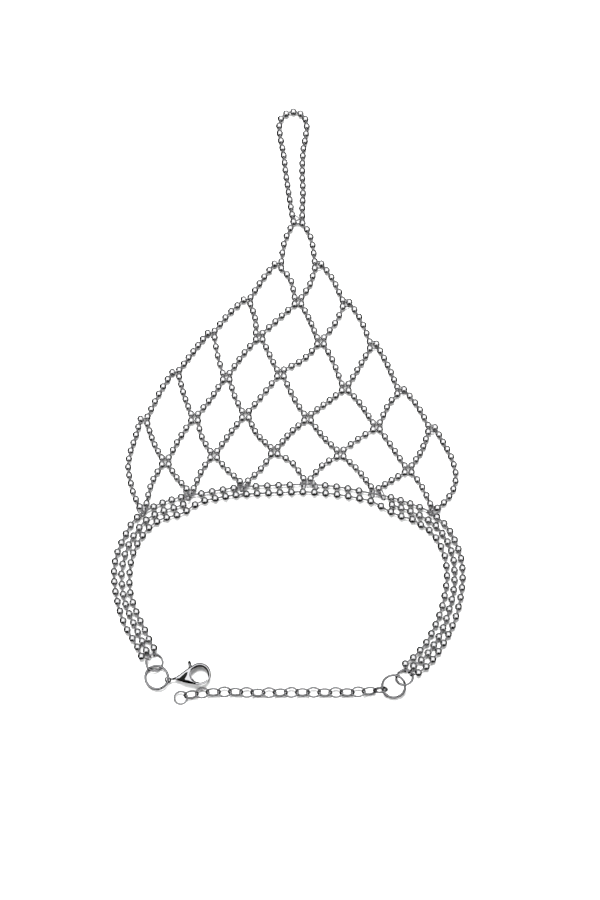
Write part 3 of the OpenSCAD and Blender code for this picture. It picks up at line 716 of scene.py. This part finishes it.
def floor_material():
    """A matt white floor that looks almost black in the metal."""
    material = bpy.data.materials.new("floor_white")
    material.use_nodes = True
    nodes = material.node_tree.nodes
    links = material.node_tree.links
    shader = nodes["Principled BSDF"]
    shader.inputs["Roughness"].default_value = 0.9
    shader.inputs["Specular IOR Level"].default_value = 0.1
    noise = nodes.new("ShaderNodeTexNoise")
    noise.inputs["Scale"].default_value = 6.0
    colour = nodes.new("ShaderNodeMapRange")
    colour.inputs["To Min"].default_value = FLOOR_LOW
    colour.inputs["To Max"].default_value = FLOOR_HIGH
    links.new(noise.outputs["Fac"], colour.inputs["Value"])
    # The metal mirrors a darker table than the eye sees, as under studio flags
    path = nodes.new("ShaderNodeLightPath")
    mirrored = nodes.new("ShaderNodeMix")
    mirrored.data_type = "FLOAT"
    mirrored.inputs["B"].default_value = FLOOR_MIRRORED
    links.new(path.outputs["Is Glossy Ray"], mirrored.inputs["Factor"])
    links.new(colour.outputs["Result"], mirrored.inputs["A"])
    links.new(mirrored.outputs["Result"], shader.inputs["Base Color"])
    return material


# Strands


def build_strands(loop_metal, band_metal, wire_metal):
    """The finger loop and the band's strands."""
    track = Track(LOOP)
    stops = track.stops([0, len(LOOP) - 1], [LOOP_PITCH])
    add_strand("finger_loop", track, stops, NET_BALL_D, loop_metal, wire_metal)

    upper_ends = [last_ball(left_small, LEFT_LOOPS[0]), last_ball(right_small, RIGHT_LOOPS[0])]
    third_ends = [last_ball(left_small, LEFT_LOOPS[1]), last_ball(right_small, RIGHT_LOOPS[1])]
    lower_ends = [last_ball(left_small, LEFT_LOOPS[2]), last_ball(right_small, RIGHT_LOOPS[2])]
    upper = [upper_ends[0]] + UPPER_LEFT + UPPER_MIDDLE + UPPER_RIGHT + [upper_ends[1]]
    lower = [lower_ends[0]] + LOWER_LEFT + LOWER_MIDDLE + LOWER_RIGHT + [lower_ends[1]]
    third_left = [third_ends[0]] + THIRD_LEFT
    third_right = THIRD_RIGHT + [third_ends[1]]
    upper_marks = [0] + [len(UPPER_LEFT) + 1 + i for i in UPPER_MARKS] + [len(upper) - 1]
    upper_pitches = [ARM_PITCH] * 2 + [BAND_PITCH] * 5 + [ARM_PITCH] * 2
    lower_marks = [0] + [len(LOWER_LEFT) + 1 + i for i in LOWER_MARKS] + [len(lower) - 1]
    lower_pitches = [ARM_PITCH, BAND_PITCH, BAND_PITCH, ARM_PITCH]
    for name, route, marks, pitches in (
        ("band_upper", upper, upper_marks, upper_pitches),
        ("band_lower", lower, lower_marks, lower_pitches),
        ("band_left", third_left, [0, len(third_left) - 1], [ARM_PITCH]),
        ("band_right", third_right, [0, len(third_right) - 1], [ARM_PITCH]),
    ):
        track = Track(route)
        stops = track.stops(marks, pitches)
        add_strand(name, track, stops, BAND_BALL_D, band_metal, wire_metal)


def add_strand(name, track, stops, diameter, ball_metal, wire_metal):
    """A strand's balls and the wire through them, as two pieces."""
    balls = Mesh()
    for stop, centre in zip(stops, ball_centres(track, stops, diameter)):
        if not hanger_at(centre):
            add_ball(balls, centre, track.heading(stop), diameter)
    balls.piece(f"{name}_beads", "bracelet", "ball_chain", [ball_metal], [f"{name}_balls"])
    core = build_top_joint() if name == "finger_loop" else Mesh()
    add_core(core, track, stops, diameter)
    core.piece(f"{name}_core", "bracelet", "chain_wire", [wire_metal], [f"{name}_wire"])


def net_balls(route, start):
    """Centres and headings of a net chain's balls, which are evenly spaced between its meeting points."""
    centres = []
    headings = []
    for span in spans(route):
        track = Track(span)
        first = start if not centres else 0.0
        stops = track.stops([0, len(span) - 1], [NET_PITCH], first)
        centres += ball_centres(track, stops, NET_BALL_D)
        headings += [track.heading(stop) for stop in stops]
    return centres, headings


def add_tie(mesh, ball, hanger, lean):
    """The small oval link with which a net chain's last ball hangs on its hanger, leaning to one side."""
    x, y, _ = hanger
    foot = Vector((x + TIE_FOOT[0] * lean, y + TIE_FOOT[1], BAND_BALL_D / 2))
    middle = (ball + foot) / 2 + Vector((TIE_MIDDLE[0] * lean, *TIE_MIDDLE[1:]))
    run = foot - ball
    heading = math.degrees(math.atan2(run.y, run.x))
    link = oval(run.length + TIE_SLACK, TIE_W, TIE_WIRE_D, TIE_END_R)
    line = place(link, middle, heading, TIE_ROLL * lean)
    add_sweep(mesh, line, TIE_WIRE_D / 2, WIRE_SLOT, closed=True)


def build_net(ball_metal, wire_metal):
    """Twelve ball chains, each with two balls at every meeting point and a touch of solder there."""
    meetings = ROW_1 + ROW_2 + ROW_3 + ROW_4 + ROW_5 + ROW_6
    for i, route in enumerate(NET):
        centres, headings = net_balls(route, FIRST_BALL_IN if i < 2 else 0.0)
        mesh = Mesh()
        for centre, heading in zip(centres, headings):
            add_ball(mesh, centre, heading, NET_BALL_D)
        add_sweep(mesh, centres, WIRE_D / 2, WIRE_SLOT)
        for x, y in meetings:
            middle = Vector((x, y, NET_BALL_D / 2))
            near = [c for c in centres if (c - middle).length < MEETING_NEAR and c.x < x]
            for c in near:
                add_sweep(mesh, [c, Vector((2 * x - c.x, c.y, c.z))], SOLDER_D / 2, WIRE_SLOT)
        add_tie(mesh, centres[-1], HANGERS[HUNG_ON[i]], 1 if i % 2 else -1)
        name = f"net_chain_{i + 1:02d}"
        mesh.piece(f"{name}_beads", "bracelet", "ball_chain", [ball_metal, wire_metal], [name])


def build_top_joint():
    """Short wires that hold the finger loop's two ends and the net's first two chains together."""
    low = [Vector((*LOOP[0], NET_BALL_D / 2)), Vector((*LOOP[-1], NET_BALL_D / 2))]
    middle = (low[0] + low[1]) / 2
    rise = Vector((0, JOINT_RISE, 0))
    mesh = Mesh()
    add_sweep(mesh, [low[0], middle - Vector((0, JOINT_DROP, 0)), low[1]], WIRE_D / 2)
    for start, lift, end in zip(low, JOINT_LIFTS, low[::-1]):
        bent = curve([start + rise, middle + Vector(lift), end], JOINT_CUTS)
        add_sweep(mesh, bent, TIE_WIRE_D / 2)
    return mesh


def build_rings(ring_metal, wire_metal):
    """The jump rings, the net's hangers and the end loops."""
    # Name, ring, radius, wire and the angle at which the wire is cut
    for name, ring, r, wire_d, cut in (
        ("left_small_ring", left_small, small_r, SMALL_WIRE_D, 205),
        ("left_large_ring", left_large, large_r, LARGE_WIRE_D, 195),
        ("right_small_ring", right_small, small_r, SMALL_WIRE_D, 120),
        ("right_large_ring", right_large, large_r, LARGE_WIRE_D, 300),
    ):
        mesh = Mesh()
        add_ring(mesh, ring, r, wire_d + PLATING, cut)
        mesh.piece(name.replace("ring", "jump_ring"), "bracelet", "links", [ring_metal], [name])
    mesh = Mesh()
    for x, y, turn in HANGERS:
        hanger = (Vector((x, y, BAND_BALL_D / 2)), turn, 90)
        add_ring(mesh, hanger, (HANGER_D - HANGER_WIRE_D) / 2, HANGER_WIRE_D)
    mesh.piece("net_hanger_rings", "bracelet", "chain_wire", [ring_metal], ["net_hangers"])
    for name, ring, turns in (
        ("left_end_loops", left_small, LEFT_LOOPS),
        ("right_end_loops", right_small, RIGHT_LOOPS),
    ):
        mesh = Mesh()
        for t in turns:
            add_end_loop(mesh, ring, t)
        mesh.piece(f"{name}_wire", "bracelet", "chain_wire", [wire_metal], [name])


# Clasp


# The clasp in its own plan: the hook's centre at the origin and the tail towards -x
CLASP_AT = Vector((-21.288, -64.002, 1.2))
CLASP_TURN = 10.5
HOOK_R = 2.65
HOLE_R = 2.03
BODY_PLAN = [
    (-5.95, -0.3), (-5, -0.75), (-4, -1.3), (-2.6, -1.85), (-1.2, -2.37), (0, 0), (-1.2, 2.37),
    (-2.8, 1.72), (-4, 1.15), (-5, 0.66), (-5.95, 0.3),
]
POCKET_PLAN = [
    (-5.1, -0.2), (-3.25, 0.95), (-2.75, 1.05), (-3.1, 0.3), (-3.75, -0.4), (-3.5, -1.2), (-4.3, -0.8),
]

# The hole's second circle, which draws it out towards the tail: its centre, and how much smaller it is
BACK_HOLE_AT = Vector((-0.4, 0))
BACK_HOLE_LESS = 0.15

# How far in the edges are rounded, and the share of the height that is left at the very edge
FLANK_ROUNDED = 0.85
EDGE_ROUNDED = 0.18
HOLE_ROUNDED = 0.2
EDGE_HEIGHT = 0.5

# How far the hook's wall leans in, the way that it faces, and where and over how much it fades in
LEAN = 0.22
LEAN_WAY = Vector((0.5, 0.87))
LEAN_FROM = 0.1
LEAN_FADE = 0.4
LEAN_W = 0.3

# Widths of the bands of painted shade: along the lower flank, where it is wider towards the tail,
# along the other edges, inside the hook and round the rest of the hole
FLANK_DARK = 0.42
FLANK_DARK_MORE = 0.3
FLANK_DARK_X = -1.8
EDGE_DARK = 0.12
HOOK_DARK = 0.24
HOLE_DARK = 0.04
EDGE_FADE = 0.1
HOLE_FADE = 0.08

# Where the neck and the eye start, how light their painted shade and the walls are, how far up the walls
# reach, and the height from which the pocket is painted dark as shade
NECK_X = -5.8
EYE_X = -6.6
NECK_SHADE = 0.1
EYE_SHADE = 0.7
WALL_SHADE = 0.6
WALL_TOP = 0.75
WALL_FADE = 0.2
POCKET_Z = 0.7
POCKET_RIM = 0.06

# The lever's thumb tab, painted dark as shade, its lighter middle, a painted highlight, and the painted shade
# on the edges of its gate
TAB_FROM = 1.7
TAB_TIP = 2.9
TAB_X = -1.95
TAB_HALF_W = 0.12
TAB_SHADE = 0.5
GATE_Y = -0.9
GATE_DARK = 0.05
GATE_FADE = 0.2

# Grid of the cast copies, and how upright a face is that counts as a wall
CAST_VOXEL = 0.05
UPRIGHT = 0.3
UPRIGHT_FADE = 0.2


def edge_distance(point, polygon):
    """A point's distance from a polygon's edge, positive inside, and the side of y = 0 that edge is on."""
    nearest = None
    inside = False
    for a, b in zip(polygon, polygon[1:] + polygon[:1]):
        a = Vector(a)
        b = Vector(b)
        share = clamp((point - a).dot(b - a) / (b - a).length_squared)
        gap = (point - a.lerp(b, share)).length
        if nearest is None or gap < nearest[0]:
            nearest = (gap, (a + b).y)
        if (a.y > point.y) != (b.y > point.y):
            if point.x < a.x + (b.x - a.x) * (point.y - a.y) / (b.y - a.y):
                inside = not inside
    return (nearest[0] if inside else -nearest[0]), nearest[1]


def shape_body(mesh):
    """Round the body's edges, lean its hook's wall in, and paint shade on its edges, neck and pocket."""
    shade = [1.0] * len(mesh.vertices)
    unplace = Matrix.Rotation(math.radians(-CLASP_TURN), 3, "Z")
    for i, vertex in enumerate(mesh.vertices):
        local = unplace @ (vertex.co / MM - CLASP_AT)
        plan = local.to_2d()
        # Painted shade: the neck dark, the eye a little darker than the rest
        if plan.x < NECK_X:
            shade[i] = NECK_SHADE if plan.x > EYE_X else EYE_SHADE
            continue
        round_part = HOOK_R - plan.length
        taper, side = edge_distance(plan, BODY_PLAN)
        from_edge = max(round_part, taper)
        low = taper > round_part and side < 0
        from_hole = min(plan.length - HOLE_R, (plan - BACK_HOLE_AT).length - HOLE_R + BACK_HOLE_LESS)
        width = FLANK_ROUNDED if low else EDGE_ROUNDED
        share = clamp(min(from_edge / width, from_hole / HOLE_ROUNDED))
        rounded = EDGE_HEIGHT + (1 - EDGE_HEIGHT) * math.sqrt(1 - (1 - share) ** 2)
        vertex.co.z = (CLASP_AT.z + local.z * rounded) * MM
        # The hook's wall leans in under its ridge, most at the side away from the gate
        facing = plan.normalized().dot(LEAN_WAY)
        lean = LEAN * clamp((facing - LEAN_FROM) / LEAN_FADE) * clamp(1 - from_hole / LEAN_W)
        inward = (CLASP_AT.to_2d().to_3d() * MM - vertex.co) * lean / HOLE_R
        vertex.co.x += inward.x
        vertex.co.y += inward.y
        # Painted shade: dark bands along the edges and round the hole, widest inside the hook, lighter on the
        # walls
        edge_dark = FLANK_DARK + FLANK_DARK_MORE * clamp(FLANK_DARK_X - plan.x) if low else EDGE_DARK
        hole_dark = HOOK_DARK if facing > LEAN_FROM else HOLE_DARK
        outer = (from_edge - edge_dark) / EDGE_FADE
        inner = (from_hole - hole_dark) / HOLE_FADE
        wall = WALL_SHADE * clamp((WALL_TOP - abs(local.z)) / WALL_FADE)
        shade[i] = clamp(max(min(outer, inner), wall))
        # The pocket is painted dark as shade
        if abs(local.z) > POCKET_Z and edge_distance(plan, POCKET_PLAN)[0] > -POCKET_RIM:
            shade[i] = 0.0
    return shade


def shape_lever(mesh):
    """Paint shade on the lever's thumb tab, with a painted highlight down its middle, and on the edges of its
    gate.
    """
    shade = [1.0] * len(mesh.vertices)
    unplace = Matrix.Rotation(math.radians(-CLASP_TURN), 3, "Z")
    for i, vertex in enumerate(mesh.vertices):
        local = unplace @ (vertex.co / MM - CLASP_AT)
        reach = local.to_2d().length
        # Painted shade on the tab, with a painted highlight down its middle, and on the gate's edges
        if local.y > TAB_FROM:
            shade[i] = 0.0 if abs(local.x - TAB_X) > TAB_HALF_W or local.y > TAB_TIP else TAB_SHADE
        elif local.y < GATE_Y and reach > HOLE_R:
            from_edge = min(reach - HOLE_R - GATE_DARK, HOOK_R - GATE_DARK - reach)
            shade[i] = clamp(from_edge / GATE_FADE) ** 2
    return shade


def cast_copy(node, name, body, metal, rounds, shape):
    """A copy of a node's solid, smoothed in rounds, then shaped and given painted shade, with brushed walls.
    """
    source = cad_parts[node]
    mesh = source.data.copy()
    mesh.materials.clear()
    mesh.materials.append(metal)
    piece = bpy.data.objects.new(name, mesh)
    bpy.context.scene.collection.objects.link(piece)
    remesh = piece.modifiers.new("even", "REMESH")
    remesh.mode = "VOXEL"
    remesh.voxel_size = CAST_VOXEL * MM
    remesh.use_smooth_shade = True
    smooth = piece.modifiers.new("polish", "SMOOTH")
    smooth.factor = 0.5
    smooth.iterations = rounds
    bpy.context.view_layer.update()
    shaped = bpy.data.meshes.new_from_object(piece.evaluated_get(bpy.context.evaluated_depsgraph_get()))
    piece.modifiers.clear()
    piece.data = shaped
    # The shape function gives each point its painted shade
    write_values(shaped, "shade", shape(shaped))
    walls = [clamp((UPRIGHT - abs(vertex.normal.z)) / UPRIGHT_FADE) for vertex in shaped.vertices]
    write_values(shaped, "brushed", walls)
    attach(piece, body)
    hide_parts(node)


# Light, floor and camera

# The view in the photograph's frame: its height in millimetres and the point in its middle
VIEW_HEIGHT = 216
VIEW_MIDDLE = (2.7, -10.4)
LENS = 90
SENSOR_HEIGHT = 36

# Half the floor's width, and how far it lies under the piece so that the two don't show through each other,
# in metres
FLOOR_REACH = 1.5
FLOOR_DROP = 0.00002

# Soft lamps that the metal doesn't mirror: name, place and size in metres, power
LAMPS = [
    ("key", (-0.06, 0.42, 0.55), (0.4, 0.3), 18),
    ("fill_left", (-0.5, -0.05, 0.45), (0.25, 0.5), 2.2),
    ("fill_right", (0.55, -0.1, 0.5), (0.2, 0.5), 1.8),
]


def add_area(name, location, target, size, power):
    light = bpy.data.lights.new(name, "AREA")
    light.shape = "RECTANGLE"
    light.size = size[0]
    light.size_y = size[1]
    light.energy = power
    lamp = bpy.data.objects.new(name, light)
    lamp.location = location
    lamp.rotation_euler = (Vector(target) - Vector(location)).to_track_quat("-Z", "Y").to_euler()
    lamp.visible_glossy = False
    bpy.context.scene.collection.objects.link(lamp)


def studio_world():
    """An even room for the floor; in the metal, a white ceiling over a dark horizon with dark spots."""
    world = bpy.data.worlds.new("studio")
    world.use_nodes = True
    nodes = world.node_tree.nodes
    links = world.node_tree.links
    ray = nodes.new("ShaderNodeTexCoord").outputs["Generated"]
    height = nodes.new("ShaderNodeVectorMath")
    height.operation = "DOT_PRODUCT"
    height.inputs[1].default_value = Vector(ROOM_UP).normalized()
    links.new(ray, height.inputs[0])
    ceiling = nodes.new("ShaderNodeMapRange")
    ceiling.interpolation_type = "SMOOTHSTEP"
    ceiling.inputs["From Min"].default_value = HORIZON_TOP
    ceiling.inputs["From Max"].default_value = CEILING_FROM
    ceiling.inputs["To Min"].default_value = HORIZON_MIRRORED
    ceiling.inputs["To Max"].default_value = ROOM_MIRRORED
    links.new(height.outputs["Value"], ceiling.inputs["Value"])
    seen = ceiling.outputs["Result"]
    for direction, radius, depth in DARK_SPOTS:
        towards = nodes.new("ShaderNodeVectorMath")
        towards.operation = "DOT_PRODUCT"
        towards.inputs[1].default_value = Vector(direction).normalized()
        links.new(ray, towards.inputs[0])
        spot = nodes.new("ShaderNodeMapRange")
        spot.interpolation_type = "SMOOTHSTEP"
        spot.inputs["From Min"].default_value = math.cos(math.radians(radius * SPOT_FADE))
        spot.inputs["From Max"].default_value = math.cos(math.radians(radius))
        spot.inputs["To Min"].default_value = 1.0
        spot.inputs["To Max"].default_value = 1.0 - depth
        links.new(towards.outputs["Value"], spot.inputs["Value"])
        darker = nodes.new("ShaderNodeMath")
        darker.operation = "MULTIPLY"
        links.new(seen, darker.inputs[0])
        links.new(spot.outputs["Result"], darker.inputs[1])
        seen = darker.outputs["Value"]
    path = nodes.new("ShaderNodeLightPath")
    room = nodes.new("ShaderNodeMix")
    room.data_type = "FLOAT"
    room.inputs["A"].default_value = ROOM_LIGHT
    links.new(seen, room.inputs["B"])
    links.new(path.outputs["Is Glossy Ray"], room.inputs["Factor"])
    nodes["Background"].inputs["Color"].default_value = (1, 1, 1, 1)
    links.new(room.outputs["Result"], nodes["Background"].inputs["Strength"])
    return world


def build_stage():
    """The floor, the lamps, the room and the camera."""
    scene = bpy.context.scene
    mesh = bpy.data.meshes.new("floor")
    corners = [(x * FLOOR_REACH, y * FLOOR_REACH, 0) for x, y in ((-1, -1), (1, -1), (1, 1), (-1, 1))]
    mesh.from_pydata(corners, [], [(0, 1, 2, 3)])
    mesh.materials.append(floor_material())
    floor = bpy.data.objects.new("floor", mesh)
    floor.location.z = -FLOOR_DROP
    scene.collection.objects.link(floor)

    middle = (VIEW_MIDDLE[0] * MM, VIEW_MIDDLE[1] * MM, 0)
    for name, location, size, power in LAMPS:
        add_area(name, location, middle, size, power)

    scene.world = studio_world()

    camera_data = bpy.data.cameras.new("camera")
    camera_data.sensor_fit = "VERTICAL"
    camera_data.sensor_height = SENSOR_HEIGHT
    camera_data.lens = LENS
    camera = bpy.data.objects.new("camera", camera_data)
    distance = VIEW_HEIGHT * MM * LENS / SENSOR_HEIGHT
    camera.location = (middle[0], middle[1], distance)
    scene.collection.objects.link(camera)
    scene.camera = camera
    scene.view_settings.view_transform = "Standard"


# Bright colour of each metal and the dark one that its painted shade goes to, its least and most roughness,
# and the grain of its mottling
ball_metal = metal_material("ball_silver", (0.67, 0.67, 0.68), (0.05, 0.05, 0.06), 0.05, 0.12, 900)
band_metal = metal_material("band_silver", (0.60, 0.60, 0.61), (0.05, 0.05, 0.06), 0.05, 0.12, 900)
# The wires, rings and links are the same plated silver as the balls, painted much darker as painted shade:
# between the balls, and for the dark edges of the rings' and links' wires
wire_metal = metal_material("wire_silver", (0.22, 0.22, 0.23), (0.05, 0.05, 0.05), 0.08, 0.16, 1200)
ring_metal = metal_material("ring_silver", (0.25, 0.25, 0.26), (0.08, 0.08, 0.08), 0.05, 0.12, 700)
clasp_metal = metal_material("clasp_steel", (0.54, 0.54, 0.56), (0.01, 0.01, 0.01), 0.06, 0.14, 600)
brush_walls(clasp_metal)

build_stage()
build_strands(ball_metal, band_metal, wire_metal)
build_net(ball_metal, wire_metal)
build_rings(ring_metal, wire_metal)
build_extender(ring_metal)
cast_copy("clasp_body", "clasp_cast_body", "bracelet", clasp_metal, 3, shape_body)
cast_copy("clasp_lever", "clasp_cast_lever", "lever", clasp_metal, 8, shape_lever)
